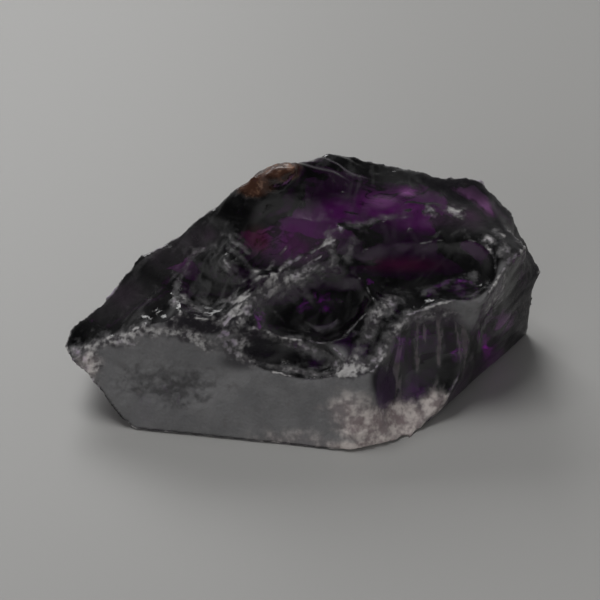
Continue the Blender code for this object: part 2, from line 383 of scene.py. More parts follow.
class Recipe:
    """The nodes of one material or sky."""

    def __init__(self, owner: bpy.types.Material | bpy.types.World, end: str) -> None:
        """Empties the nodes of owner and adds its output.

        Args:
            owner: The material or sky.
            end: The output node's type.
        """
        owner.use_nodes = True
        self.tree = owner.node_tree
        self.tree.nodes.clear()
        self.end = self.tree.nodes.new(end)
        self.sources: dict[Mark | Grain, Wire] = {}

    def finish(self, name: str, wire: Wire) -> None:
        """Links wire to the output's socket called name."""
        self.tree.links.new(wire.socket, self.end.inputs[name])

    def node(
        self,
        kind: str,
        settings: dict | None = None,
        sockets: dict | None = None,
        out: int | str = 0,
    ) -> Wire:
        """Adds a node.

        Args:
            kind: The node's type.
            settings: Its settings, which are set first.
            sockets: The value or wire of each of its sockets, by name or place.
            out: The output to go on from.

        Returns:
            The output.
        """
        made = self.tree.nodes.new(kind)
        for name, value in (settings or {}).items():
            setattr(made, name, value)
        for key, value in (sockets or {}).items():
            if isinstance(value, Wire):
                self.tree.links.new(value.socket, made.inputs[key])
            else:
                made.inputs[key].default_value = value
        return Wire(self, made.outputs[out])

    def source(self, source: Mark | Grain) -> Wire:
        """Adds what the mesh holds under a mark, or a noise on the object's own coordinates.

        Args:
            source: The mark or the noise. Each is added once.

        Returns:
            The mark, from 0 to 1, or the noise, about 0.3 to 0.7.
        """
        if source in self.sources:
            return self.sources[source]
        if isinstance(source, Mark):
            wire = self.node("ShaderNodeAttribute", {"attribute_name": source.value}, out="Fac")
        else:
            size, detail = source.value
            spot = self.node("ShaderNodeTexCoord", out="Object")
            sockets = {"Vector": spot, "Scale": 1.0 / (size * MM), "Detail": detail}
            wire = self.node("ShaderNodeTexNoise", None, sockets)
        self.sources[source] = wire
        return wire

    def mask(self, mask: Mask) -> Wire:
        """Adds a mask.

        Args:
            mask: The mask.

        Returns:
            Its value, from start to end.
        """
        total = sum(self.source(source) * share for source, share in mask.shares.items())
        return (total - mask.less).eased(mask.low, mask.high, mask.start, mask.end)

    def blend(self, share: Wire | Mask, first: Wire | Place, second: Wire | Place) -> Wire:
        """Mixes two colours.

        Args:
            share: How much of the second colour shows.
            first: The colour at 0.
            second: The colour at 1.

        Returns:
            The mixed colour.
        """
        share = self.mask(share) if isinstance(share, Mask) else share
        sockets = {MIX_SHARE: share, MIX_FIRST: as_colour(first), MIX_SECOND: as_colour(second)}
        return self.node("ShaderNodeMix", {"data_type": "RGBA"}, sockets, MIX_RESULT)

    def bump(self, height: Wire, depth: float, below: Wire | None = None) -> Wire:
        """Adds relief.

        Args:
            height: The relief, from 0 to 1.
            depth: How high 1 is, in millimetres.
            below: The relief that it is laid on.

        Returns:
            The normal.
        """
        sockets = {"Height": height, "Distance": depth * MM}
        if below is not None:
            sockets["Normal"] = below
        return self.node("ShaderNodeBump", None, sockets)


def as_colour(colour: Wire | Place) -> Wire | tuple[float, float, float, float]:
    """Returns a wire as it is, and three numbers as a solid colour."""
    return colour if isinstance(colour, Wire) else (*colour, 1.0)


@dataclass(frozen=True)
class AmethystFinish:
    """Clear violet quartz with frosted, bruised, crusted and rust-stained places, and with painted shade,
    painted glints and painted red light on it.
    """

    # Clear crystal
    refraction: float = 1.544
    absorbed_colour: Place = (0.66, 0.13, 0.69)
    absorbed_density: float = 420.0
    smoky: Place = (0.035, 0.028, 0.04)
    clear: Place = (0.95, 0.80, 0.95)
    # Painted red light from inside, as a reddish tint of the crystal
    ember: Place = (0.62, 0.10, 0.16)
    # Colours of the skin
    frost: Place = (0.215, 0.213, 0.216)
    frost_dull: Place = (0.166, 0.165, 0.169)
    frost_dark: Place = (0.095, 0.093, 0.096)
    dull: Place = (0.060, 0.055, 0.060)
    grey: Place = (0.20, 0.194, 0.196)
    # Pale colours of the beads on bruised ridges, partly painted glints
    white: Place = (0.60, 0.585, 0.575)
    lilac: Place = (0.38, 0.31, 0.42)
    reed: Place = (0.36, 0.30, 0.32)
    veil: Place = (0.150, 0.038, 0.148)
    # Painted red light from inside, as a reddish skin colour
    red_light_skin: Place = (0.20, 0.06, 0.07)
    # Painted shade: a near-black skin colour
    shaded: Place = (0.018, 0.016, 0.020)
    crust: Place = (0.36, 0.29, 0.29)
    crust_pale: Place = (0.84, 0.76, 0.72)
    rust: Place = (0.085, 0.036, 0.022)
    rust_pale: Place = (0.36, 0.20, 0.13)
    # Painted pink glints: a pink colour standing in for highlights
    painted_glint: Place = (0.42, 0.11, 0.44)

    # How much of the crystal each mark hides
    frost_cover: float = 0.95
    painted_glint_cover: float = 0.6
    reed_cover: Swing = Swing(0.1, 0.9)
    # The dull marks hide the crystal under rough skin that carries painted shade
    dull_and_shade_cover: Swing = Swing(0.6, 0.5)
    veil_cover: Swing = Swing(0.28, 0.3)
    bruise_and_glint_cover: Mask = Mask(
        {Mark.BRUISE: 1.2, Grain.MEDIUM: 0.6, Grain.COARSE: 0.8}, 0.05, 1.0, end=0.86, less=0.7
    )
    crust_cover: Mask = Mask({Mark.CRUST: 1.6, Grain.COARSE: 0.8}, 0.05, 1.1, end=0.92, less=0.5)
    rust_cover: Mask = Mask({Mark.RUST: 1.0, Grain.COARSE: 0.6}, 0.15, 0.75, end=0.66, less=0.3)
    haze_cover: Mask = Mask({Grain.PATCH: 1.0}, 0.42, 0.66, end=0.035)

    # Where one colour is laid over another
    tinted: Mask = Mask({Mark.VIOLET: 1.0}, 0.05, 0.95)
    clouded: Mask = Mask({Grain.PATCH: 0.7, Grain.FINE: 0.3}, 0.35, 0.62)
    pitted: Mask = Mask({Mark.PIT: 0.9, Grain.COARSE: 2.6, Grain.FINE: 0.4}, 0.0, 0.80, less=1.70)
    veiled: Mask = Mask({Mark.VEIL: 1.0}, 0.05, 1.0)
    red_light_mask: Mask = Mask({Mark.EMBER: 1.0}, 0.1, 0.8)
    # Painted shade: the dull marks darken the skin, less on the streaks
    painted_shade: Mask = Mask({Mark.DULL: 1.4, Mark.REED: -1.0}, 0.1, 0.7)
    streaked: Mask = Mask({Mark.REED: 1.0}, 0.30, 0.7)
    bluish: Mask = Mask({Grain.PATCH: 1.0}, 0.45, 0.65)
    crushed: Mask = Mask({Grain.BEAD: 0.8, Grain.COARSE: 0.8}, 0.60, 0.95)
    # Pale beads on bruised ridges, partly painted glints
    glinting_beads: Mask = Mask(
        {Mark.BRUISE: 0.8, Grain.COARSE: 1.0, Grain.BEAD: 0.7, Grain.FINE: 0.2}, 1.38, 1.95
    )
    bruised: Mask = Mask({Mark.BRUISE: 1.0, Grain.BEAD: 0.6}, 0.0, 0.6, less=0.4)
    powdery: Mask = Mask({Grain.COARSE: 0.5, Grain.BEAD: 0.2, Grain.PATCH: 0.4}, 0.44, 0.66)
    crusted: Mask = Mask({Mark.CRUST: 1.0, Grain.COARSE: 0.7}, 0.05, 0.9, less=0.35)
    worn: Mask = Mask({Grain.COARSE: 0.7, Grain.FINE: 0.5}, 0.58, 0.82)
    rusted: Mask = Mask({Mark.RUST: 1.0}, 0.1, 0.5)

    # Gloss, and relief in millimetres
    crystal_roughness: Mask = Mask({Grain.COARSE: 1.0}, 0.35, 0.7, 0.04, 0.12)
    skin_roughness: Mask = Mask({Grain.FINE: 1.0}, 0.3, 0.7, 0.42, 0.60)
    dull_roughness: float = 0.4
    skin_gloss: float = 0.3
    crystal_coarse: float = 0.7
    crystal_fine: float = 0.3
    crystal_relief: float = 0.04
    skin_coarse_relief: float = 0.10
    skin_fine_relief: float = 0.06

    def material(self) -> bpy.types.Material:
        """Makes the material.

        Returns:
            The material.
        """
        made = bpy.data.materials.new("amethyst_crystal")
        recipe = Recipe(made, "ShaderNodeOutputMaterial")
        shares = {0: self._cover(recipe), 1: self._crystal(recipe), 2: self._skin(recipe)}
        recipe.finish("Surface", recipe.node("ShaderNodeMixShader", None, shares))
        depth = {"Color": as_colour(self.absorbed_colour), "Density": self.absorbed_density}
        recipe.finish("Volume", recipe.node("ShaderNodeVolumeAbsorption", None, depth))
        return made

    def _cover(self, recipe: Recipe) -> Wire:
        """Works out how much of the crystal is hidden by broken, dusty or stained skin, and by skin that
        carries painted shade and painted pink glints.

        Args:
            recipe: The nodes to add to.

        Returns:
            The hidden share.
        """
        medium = recipe.source(Grain.MEDIUM)
        cover = recipe.source(Mark.FROST) * self.frost_cover
        cover = cover.highest(recipe.source(Mark.GLOW) * self.painted_glint_cover)
        cover = cover.highest(recipe.source(Mark.REED) * self.reed_cover.of(medium))
        cover = cover.highest(recipe.source(Mark.DULL) * self.dull_and_shade_cover.of(medium))
        cover = cover.highest(recipe.source(Mark.VEIL) * self.veil_cover.of(medium))
        for mask in (self.bruise_and_glint_cover, self.crust_cover, self.rust_cover, self.haze_cover):
            cover = cover.highest(recipe.mask(mask))
        return cover

    def _crystal(self, recipe: Recipe) -> Wire:
        """Makes the clear crystal's shader.

        Args:
            recipe: The nodes to add to.

        Returns:
            The shader.
        """
        tint = recipe.blend(self.tinted, self.smoky, self.clear)
        # Painted red light from inside
        tint = recipe.blend(recipe.source(Mark.EMBER), tint, self.ember)
        coarse = recipe.source(Grain.COARSE) * self.crystal_coarse
        height = coarse + recipe.source(Grain.FINE) * self.crystal_fine
        sockets = {
            "Base Color": tint,
            "Roughness": recipe.mask(self.crystal_roughness),
            "IOR": self.refraction,
            "Transmission Weight": 1.0,
            "Normal": recipe.bump(height, self.crystal_relief),
        }
        return recipe.node("ShaderNodeBsdfPrincipled", None, sockets)

    def _skin(self, recipe: Recipe) -> Wire:
        """Makes the shader of the broken and stained skin.

        Args:
            recipe: The nodes to add to.

        Returns:
            The shader.
        """
        roughness = recipe.mask(self.skin_roughness)
        relief = recipe.bump(recipe.source(Grain.COARSE), self.skin_coarse_relief)
        sockets = {
            "Base Color": self._skin_colour(recipe),
            "Roughness": roughness + recipe.source(Mark.DULL) * self.dull_roughness,
            "IOR": self.refraction,
            "Specular IOR Level": self.skin_gloss,
            "Normal": recipe.bump(recipe.source(Grain.FINE), self.skin_fine_relief, relief),
        }
        return recipe.node("ShaderNodeBsdfPrincipled", None, sockets)

    def _skin_colour(self, recipe: Recipe) -> Wire:
        """Lays the skin's colours over each other, from the frost up to the painted pink glints, with
        painted shade and painted red light between them.

        Args:
            recipe: The nodes to add to.

        Returns:
            The colour.
        """
        colour = recipe.blend(self.clouded, self.frost_dull, self.frost)
        colour = recipe.blend(self.pitted, colour, self.frost_dark)
        colour = recipe.blend(self.veiled, colour, self.veil)
        colour = recipe.blend(self.red_light_mask, colour, self.red_light_skin)
        # Painted shade on the dull marks
        colour = recipe.blend(self.painted_shade, colour, self.shaded)
        colour = recipe.blend(self.streaked, colour, self.reed)
        # Bruised ridges: crushed crystal with pale beads, partly painted glints
        pale = recipe.blend(self.bluish, self.white, self.lilac)
        soft = recipe.blend(self.crushed, self.dull, self.grey)
        colour = recipe.blend(self.bruised, colour, recipe.blend(self.glinting_beads, soft, pale))
        crust = recipe.blend(self.powdery, self.crust, self.crust_pale)
        colour = recipe.blend(self.crusted, colour, crust)
        rust = recipe.blend(self.worn, self.rust, self.rust_pale)
        colour = recipe.blend(self.rusted, colour, rust)
        # Painted pink glints laid over everything
        return recipe.blend(recipe.source(Mark.GLOW), colour, self.painted_glint)


@dataclass
class Lump:
    """The lump of amethyst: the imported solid's form with fine fracture relief on it.

    Sizes are in millimetres. The rounds say how far each average reaches along the surface.
    """

    # Form
    weld: float = 0.002
    cell: float = 0.22
    first_rounds: int = 2
    smooth_rounds: int = 14
    fine_rounds: int = 8
    calm_rounds: int = 12
    broad_rounds: int = 60
    ridge_kept: Ramp = Ramp(0.035, 0.09)
    above_rim: Ramp = Ramp(0.3, 1.2)
    above_base: Ramp = Ramp(0.05, 0.7)

    # Noises
    uneven: Grit = Grit(2.4, 2, 11.0)
    frayed: Grit = Grit(0.8, 2, 15.0)
    strand: Grit = Grit(0.55, 2, 31.0)
    drift: Grit = Grit(5.0, 2, 3.0)
    small: Grit = Grit(0.75, 2, 7.0)
    crease: Grit = Grit(0.9, 1, 5.0)
    strand_way: Place = (0.81, 0.50, 0.31)
    strand_pull: float = 0.88
    strand_edge: Ramp = Ramp(-0.25, 0.40)

    # How the marks are made
    fine_ridge: Ramp = Ramp(0.02, 0.10)
    broad_ridge: Ramp = Ramp(0.08, 0.30)
    broad_share: float = 0.6
    ridge_swing: Swing = Swing(0.62, 0.75)
    spot_swing: Swing = Swing(0.8, 0.7)
    seam_swing: Swing = Swing(0.85, 0.5)
    veil_edge: Ramp = Ramp(-0.3, 0.5)
    veil_swing: Swing = Swing(0.65, 0.35)
    behind: float = 0.85
    behind_edge: Ramp = Ramp(0.15, 0.60)

    # Relief
    drift_rise: float = 0.05
    bead_rise: float = 0.10
    crack_depth: float = 0.12
    frost_rise: float = 0.03
    pit_depth: float = 0.32
    crust_rise: float = 0.14
    crust_sink: float = 0.05
    rust_rise: float = 0.10

    # Frosted planes of the front face
    front: Plane = Plane((-17.1, -11.3, 0.0), (-0.15, -0.885, 0.44))
    front_right: Plane = Plane((5.1, -15.2, 0.0), (0.29, -0.865, 0.41))
    # Rippled fractures
    fans: tuple[Fan, ...] = (
        # Violet hollow
        Fan((-6.5, 3.0, 18.0), (-0.8, 0.6, 15.8), (-0.1, -0.6, 0.8), 5.0, 1.3, 0.030, 0.1),
        # Right hollow
        Fan((19.0, 4.0, 16.0), (12.0, -1.0, 13.5), (0.0, -0.6, 0.8), 7.0, 1.7, 0.025, 0.1),
        # Middle hollow
        Fan((5.0, 0.5, 16.0), (0.5, -4.0, 11.0), (0.0, -0.6, 0.8), 6.0, 1.5, 0.040, 0.1),
        # Left hollow, and the steps above it
        Fan((-5.0, 1.5, 18.0), (-10.0, -4.2, 12.5), (-0.1, -0.5, 0.86), 4.6, 1.2, 0.040, 0.0),
        Fan((-12.5, 2.0, 17.5), (-7.6, -1.6, 15.2), (-0.2, -0.6, 0.8), 3.2, 1.1, 0.050, 0.4),
        # Window
        Fan((11.2, -3.5, 22.0), (12.8, -7.5, 6.5), (0.4, -0.86, 0.28), 6.5, 3.0, 0.020, 0.62, 0.6),
        # Band above the right hollow, and the crest
        Fan((2.0, 12.0, 22.0), (11.0, 4.0, 17.6), (0.1, -0.3, 0.95), 7.5, 1.4, 0.045, 0.15),
        Fan((8.0, 26.0, 26.0), (4.0, 8.5, 20.0), (0.1, -0.2, 0.97), 11.0, 1.6, 0.060, 0.2),
        # Left slope
        Fan((2.0, 12.0, 26.0), (-14.0, -1.0, 12.5), (-0.36, -0.4, 0.84), 9.0, 1.9, 0.035, 0.35),
        # Right end
        Fan((12.0, 8.0, 24.0), (22.0, 2.0, 9.0), (0.9, -0.2, 0.2), 9.0, 1.5, 0.040, 0.2),
        # Back, and the back of the left end
        Fan((3.0, 8.0, 24.0), (2.0, 14.0, 9.0), (0.1, 0.95, 0.1), 12.0, 1.8, 0.050, 0.3),
        Fan((-2.0, 6.0, 21.0), (-15.0, 6.0, 9.0), (-0.5, 0.8, 0.3), 10.0, 1.7, 0.050, 0.3),
    )
    # Clear violet crystal
    violet: tuple[Spot, ...] = (
        # Violet hollow
        Spot((-1.1, 0.9, 15.7), (4.6, 3.0, 2.4), 0.9),
        Spot((3.3, 1.6, 17.2), (3.2, 2.2, 1.8), 0.8),
        # Band above the right hollow
        Spot((7.8, 3.6, 17.7), (3.2, 2.0, 1.4), 0.9),
        Spot((11.0, 4.4, 17.7), (3.4, 2.2, 1.4), 0.9),
        Spot((12.5, 2.3, 16.6), (4.2, 1.6, 1.2), 0.7),
        # Right shoulder
        Spot((15.5, 5.0, 16.8), (3.4, 2.4, 1.8), 0.9),
        Spot((18.5, 4.7, 15.9), (2.8, 2.2, 1.8), 0.8),
        # Left slope
        Spot((-11.0, 0.6, 15.4), (3.0, 1.6, 1.4), 0.5),
        Spot((-13.4, -0.6, 13.8), (2.2, 1.6, 1.4), 0.4),
        # Foot of the right end
        Spot((20.0, 0.0, 4.0), (4.0, 4.0, 3.4), 0.8),
        Spot((15.0, -5.0, 2.5), (3.0, 3.0, 2.2), 0.5),
        # Foot of the front face
        Spot((-1.0, -13.6, 0.5), (6.5, 1.0, 0.6), 0.5),
    )
    # Painted red light from inside: a reddish tint of the crystal and the skin
    embers: tuple[Spot, ...] = (
        # Left edge of the violet hollow
        Spot((-5.2, 0.2, 15.8), (1.6, 1.6, 1.6), 0.8),
        # Reddish streak in the right hollow
        Spot((9.8, -1.3, 13.5), (3.6, 0.8, 0.6), 0.8),
    )
    # Thin violet veils
    veils: tuple[Spot, ...] = (
        # Left slope
        Spot((-19.0, -1.0, 9.5), (6.0, 4.0, 3.0), 0.5),
        Spot((-13.5, 1.0, 13.0), (4.0, 3.0, 2.5), 0.5),
        Spot((-10.8, 0.7, 15.3), (2.8, 1.8, 2.4), 0.5),
        # Right shoulder
        Spot((16.0, 3.2, 16.6), (3.4, 2.4, 1.6), 0.7),
        # Violet hollow
        Spot((-1.0, 0.3, 15.3), (4.6, 2.6, 2.6), 0.9),
        # Back
        Spot((0.0, 12.0, 12.0), (9.0, 5.0, 5.0), 0.35),
        Spot((15.0, 10.0, 14.0), (4.0, 4.0, 3.0), 0.4),
    )
    # Dull rough skin, partly painted shade: a near-black skin colour where shade falls
    dull_and_shade_spots: tuple[Spot, ...] = (
        # Right end and its shoulder
        Spot((23.4, 2.0, 8.0), (3.6, 4.6, 9.0), 1.0),
        Spot((21.6, 5.0, 15.0), (3.0, 4.0, 3.0), 0.7),
        # Strip between the front face and the window
        Spot((8.6, -10.4, 4.6), (2.0, 2.4, 2.8), 0.7),
        # Notch
        Spot((-7.0, -9.6, 7.6), (3.0, 1.2, 1.4), 0.4),
        Spot((-4.9, -8.4, 8.7), (2.8, 1.4, 1.5), 1.0),
        # Ledge under the left hollow
        Spot((-10.9, -7.1, 10.5), (3.4, 1.5, 1.1), 1.0),
        Spot((-6.8, -7.9, 10.9), (1.6, 1.0, 1.1), 0.9),
        Spot((7.4, -10.9, 5.9), (1.5, 1.5, 2.2), 0.7),
        # Slope behind the band
        Spot((14.0, 8.5, 17.0), (9.0, 4.0, 2.0), 0.7),
    )
    # Painted pink glints: pink spots standing in for highlights
    painted_glint: tuple[Spot, ...] = (
        # Band above the right hollow
        Spot((7.8, 3.9, 17.7), (1.6, 0.7, 0.8), 0.7),
        Spot((10.3, 5.2, 17.8), (1.2, 0.8, 0.8), 0.9),
        Spot((12.9, 2.3, 16.4), (1.6, 0.7, 0.7), 0.3),
    )
    # Pale crust
    crust: tuple[Spot, ...] = (
        # Lower right of the front face, and the foot of the window
        Spot((4.3, -12.9, 4.0), (2.6, 2.0, 2.0), 0.55),
        Spot((6.5, -13.6, 2.4), (3.4, 2.2, 2.2), 0.9),
        Spot((10.2, -11.9, 1.6), (3.8, 2.6, 2.0), 1.0),
        Spot((13.0, -10.0, 1.8), (2.2, 2.2, 1.8), 0.8),
        # Left point
        Spot((-22.5, -8.3, 6.0), (1.8, 1.6, 1.8), 0.4),
        # Foot of the front face
        Spot((-1.0, -13.9, 0.6), (6.5, 1.4, 1.3), 0.36),
        Spot((7.0, -14.0, 0.5), (5.0, 1.6, 0.7), 1.1),
    )
    # Rust stain
    rust: tuple[Spot, ...] = (
        # Nub of skin on the crest
        Spot((-5.2, 3.8, 20.2), (2.3, 2.0, 1.4), 0.9),
        Spot((-2.9, 4.9, 21.3), (2.4, 2.0, 1.3), 1.0),
    )
    # Pits
    pits: tuple[Spot, ...] = (
        # Left half of the front face
        Spot((-13.3, -9.9, 4.5), (4.2, 2.4, 2.2), 0.9),
        Spot((-17.0, -9.6, 4.6), (3.0, 2.2, 1.8), 0.6),
    )
    # Crushed spots and ridges, some of them painted glints: pale spots standing in for highlights
    bruises_and_glints: tuple[Spot, ...] = (
        # Ridge above the front face
        Spot((-16.6, -7.2, 9.6), (2.0, 1.0, 0.8), 0.9),
        Spot((-12.0, -7.9, 9.4), (1.6, 1.0, 0.8), 0.9),
        # Lower left corner of the left hollow
        Spot((-13.3, -5.0, 11.4), (0.8, 0.9, 0.8), 0.9),
        # Corner between the front face and the window
        Spot((3.8, -11.0, 7.5), (1.2, 1.2, 1.0), 1.3),
        # Upper edge of the notch
        Spot((-1.2, -7.9, 8.7), (1.0, 0.9, 0.9), 1.1),
        # Saddle
        Spot((7.5, -6.1, 11.3), (0.8, 0.9, 0.8), 0.7),
        # Right rim
        Spot((19.6, 1.6, 15.2), (0.8, 1.2, 1.0), 0.9),
        # Left point, and the ridge beside it
        Spot((-22.2, -7.7, 6.0), (1.7, 1.4, 1.5), 1.0),
        Spot((-19.4, -7.0, 8.3), (3.2, 0.9, 1.0), 1.1),
        Spot((18.7, 0.3, 15.7), (0.7, 0.8, 1.0), 1.1),
        # Painted glints in the band: pale spots standing in for highlights
        Spot((15.5, 3.8, 16.8), (1.6, 1.2, 0.9), 0.95),
        Spot((12.6, 2.9, 17.2), (1.0, 0.9, 0.6), 0.8),
        Spot((-12.9, -4.7, 11.5), (1.1, 0.9, 0.8), 0.9),
    )
    seams: tuple[Seam, ...] = (
        # Ridge above the front face
        Seam(
            (
                (-24.0, -6.8, 6.5),
                (-21.2, -6.8, 7.8),
                (-19.1, -6.9, 8.5),
                (-16.4, -7.3, 9.8),
                (-13.3, -7.8, 9.8),
                (-10.0, -8.5, 8.8),
                (-6.2, -8.3, 9.2),
            ),
            0.9,
            0.85,
        ),
        # Upper and lower edge of the notch
        Seam(((-4.4, -7.7, 9.7), (-0.6, -8.0, 8.3), (2.0, -9.1, 7.3), (4.0, -11.0, 7.4)), 0.7, 0.7),
        Seam(((-8.2, -8.7, 8.2), (-5.7, -9.5, 7.4), (-0.6, -10.0, 6.5), (2.5, -10.9, 6.9)), 0.6, 0.7),
        # Bruised ridge up to the saddle
        Seam(((4.0, -10.8, 7.4), (5.6, -8.7, 8.6), (7.4, -6.1, 11.3), (8.7, -4.6, 11.5)), 0.9, 0.75),
        # Ridge between the right hollow and the window
        Seam(
            (
                (4.5, -11.3, 7.2),
                (7.1, -9.7, 8.0),
                (8.2, -8.1, 9.5),
                (9.7, -7.0, 10.5),
                (13.8, -5.6, 10.6),
                (19.1, -4.1, 10.6),
                (20.2, -2.9, 11.3),
            ),
            0.9,
            0.75,
        ),
        # Right rim, and the window's right edge
        Seam(((20.2, -2.9, 11.3), (20.5, -2.8, 13.7), (20.3, -0.9, 14.9), (19.8, 1.5, 15.3)), 0.7, 0.7),
        Seam(((20.4, -2.0, 9.6), (19.1, -2.6, 7.7), (18.1, -4.1, 6.2)), 0.6, 0.6),
        # Crested ridge between the left and middle hollows
        Seam(
            (
                (-8.2, -8.6, 8.7),
                (-7.1, -7.9, 10.7),
                (-5.7, -6.0, 12.2),
                (-4.3, -4.2, 12.6),
                (-0.6, -2.4, 13.4),
                (2.7, -1.9, 14.5),
                (2.4, -0.4, 15.4),
                (2.0, 0.6, 16.1),
            ),
            0.7,
            0.7,
        ),
        Seam(((-4.9, -5.4, 11.7), (-3.2, -3.9, 12.0), (-1.4, -3.1, 12.7)), 0.5, 0.6),
        Seam(
            (
                (-8.2, -8.0, 10.4),
                (-6.3, -6.0, 12.3),
                (-3.9, -3.6, 13.1),
                (0.6, -1.8, 14.2),
                (2.4, -0.6, 15.4),
            ),
            1.7,
            1.0,
            stranded=True,
        ),
        # Spur right of the violet hollow
        Seam(((4.7, -0.3, 16.0), (4.4, -0.9, 14.9), (4.1, -1.6, 14.1)), 0.5, 0.6),
        # Left and lower rim of the left hollow
        Seam(((-13.5, -5.0, 11.5), (-13.4, -2.7, 12.2), (-11.5, -0.1, 14.4), (-9.5, -0.7, 15.3)), 0.5, 0.6),
        Seam(((-13.3, -4.6, 11.5), (-11.3, -5.4, 11.1), (-9.4, -7.0, 11.1), (-8.1, -7.5, 10.7)), 0.6, 0.7),
        # Steps above the left hollow
        Seam(((-8.6, 0.5, 16.5), (-7.4, -1.1, 16.2), (-6.1, -1.7, 15.4)), 0.45, 0.6),
        Seam(((-9.0, -2.5, 14.8), (-7.9, -3.7, 14.4), (-6.9, -4.3, 13.5)), 0.45, 0.6),
        Seam(((-7.9, -1.5, 15.8), (-6.7, -2.5, 15.3), (-5.5, -3.5, 14.2)), 0.4, 0.5),
        # Lower edge of the band
        Seam(((2.6, 0.6, 16.4), (5.2, 1.6, 16.5), (8.3, 2.6, 16.8), (11.2, 3.0, 17.2)), 0.5, 0.5),
        # Right shoulder
        Seam(((21.0, 2.5, 15.1), (21.7, 0.5, 14.8), (22.2, -0.7, 13.6)), 0.7, 0.6),
        # Left point
        Seam(((-23.4, -7.3, 6.2), (-22.3, -8.3, 5.6), (-21.5, -9.0, 4.4)), 0.9, 0.7),
    )
    made: bpy.types.Object | None = field(default=None, repr=False)

    def build(self, solid: bpy.types.Object) -> bpy.types.Object:
        """Makes the lump.

        Args:
            solid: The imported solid, which is only copied.

        Returns:
            The finished piece.
        """
        mesh = self._even_mesh(solid)
        web = Web(mesh)
        low, high = self._box(solid)
        points = self._eased_points(mesh, web)
        self._write(mesh, points)
        normals = self._read(mesh.vertices, "normal")
        calm = web.averaged(normals, self.calm_rounds)
        calm /= np.linalg.norm(calm, axis=1, keepdims=True)
        fine = ((points - web.averaged(points, self.fine_rounds)) * normals).sum(axis=1)
        broad = ((points - web.averaged(points, self.broad_rounds)) * calm).sum(axis=1)
        marks = self._marks(points, calm, fine, broad)
        lift = self._relief(points, calm, marks)
        lift *= self.above_base.of(points[:, 2] - low[2])
        self._write(mesh, np.clip(points + normals * lift[:, None], low, high))
        for mark, values in marks.items():
            layer = mesh.attributes.new(mark.value, "FLOAT", "POINT")
            layer.data.foreach_set("value", np.clip(values, 0.0, 1.0).astype(np.float32))
        self.made = bpy.data.objects.new("amethyst_lump", mesh)
        bpy.context.scene.collection.objects.link(self.made)
        return self.made

    def _even_mesh(self, solid: bpy.types.Object) -> bpy.types.Mesh:
        """Makes a copy of the solid's mesh with even cells.

        Args:
            solid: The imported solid.

        Returns:
            The copy.
        """
        shell = bmesh.new()
        shell.from_mesh(solid.data)
        bmesh.ops.remove_doubles(shell, verts=shell.verts, dist=self.weld * MM)
        copy = bpy.data.meshes.new("amethyst_copy")
        shell.to_mesh(copy)
        shell.free()
        carrier = bpy.data.objects.new("amethyst_copy", copy)
        bpy.context.scene.collection.objects.link(carrier)
        cells = carrier.modifiers.new("cells", "REMESH")
        cells.mode = "VOXEL"
        cells.voxel_size = self.cell * MM
        ready = carrier.evaluated_get(bpy.context.evaluated_depsgraph_get())
        mesh = bpy.data.meshes.new_from_object(ready)
        mesh.name = "amethyst_lump"
        bpy.data.objects.remove(carrier)
        bpy.data.meshes.remove(copy)
        mesh.shade_smooth()
        mesh.materials.clear()
        return mesh

    def _box(self, solid: bpy.types.Object) -> tuple[np.ndarray, np.ndarray]:
        """Returns the lowest and highest corners of the solid, in millimetres."""
        low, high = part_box(solid.name)
        return np.array(low) / MM, np.array(high) / MM

    def _read(self, vertices: bpy.types.MeshVertices, name: str) -> np.ndarray:
        """Reads three numbers of each vertex.

        Args:
            vertices: The mesh's vertices.
            name: What is read: co for places in metres, or normal.

        Returns:
            One row for each vertex.
        """
        flat = np.empty(len(vertices) * 3, np.float32)
        vertices.foreach_get(name, flat)
        return flat.reshape(-1, 3).astype(float)

    def _write(self, mesh: bpy.types.Mesh, points: np.ndarray) -> None:
        """Moves the points of mesh to points, in millimetres."""
        mesh.vertices.foreach_set("co", (points * MM).astype(np.float32).ravel())
        mesh.update()

    def _eased_points(self, mesh: bpy.types.Mesh, web: Web) -> np.ndarray:
        """Smooths the solid's facets away and keeps its ridges and its base.

        Args:
            mesh: The even mesh.
            web: The same mesh's edges.

        Returns:
            The smoothed points, in millimetres.
        """
        points = web.averaged(self._read(mesh.vertices, "co") / MM, self.first_rounds)
        soft = web.averaged(points, self.smooth_rounds)
        bend = np.linalg.norm(points - web.averaged(points, self.fine_rounds), axis=1)
        keep = self.ridge_kept.of(bend) * self.above_rim.of(points[:, 2])
        keep = keep[:, None]
        return points * keep + soft * (1.0 - keep)

    def _marks(
        self, points: np.ndarray, normals: np.ndarray, fine: np.ndarray, broad: np.ndarray
    ) -> dict[Mark, np.ndarray]:
        """Works out every mark.

        Args:
            points: The points, in millimetres.
            normals: The way that the surface faces at each point.
            fine: How far each point stands out from its near neighbours.
            broad: How far it stands out from its wider ones.

        Returns:
            The marks.
        """
        uneven = self.uneven.at(points)
        planes = (self.front, self.front_right)
        veil = self.veil_swing.of(self.veil_edge.of(uneven))
        behind = self.behind * self.behind_edge.of(normals[:, 1])
        return {
            Mark.BRUISE: self._bruise(points, uneven, fine, broad),
            Mark.FROST: np.max([plane.weight(points, normals) for plane in planes], axis=0),
            Mark.CRUST: self._most(self.crust, points),
            Mark.RUST: self._most(self.rust, points),
            Mark.VIOLET: np.maximum(self._most(self.violet, points), behind),
            Mark.GLOW: self._most(self.painted_glint, points),
            Mark.PIT: self._most(self.pits, points),
            Mark.REED: np.max([fan.streaks(points, normals) for fan in self.fans], axis=0),
            Mark.EMBER: self._most(self.embers, points),
            Mark.VEIL: self._most(self.veils, points) * veil,
            Mark.DULL: self._most(self.dull_and_shade_spots, points),
        }

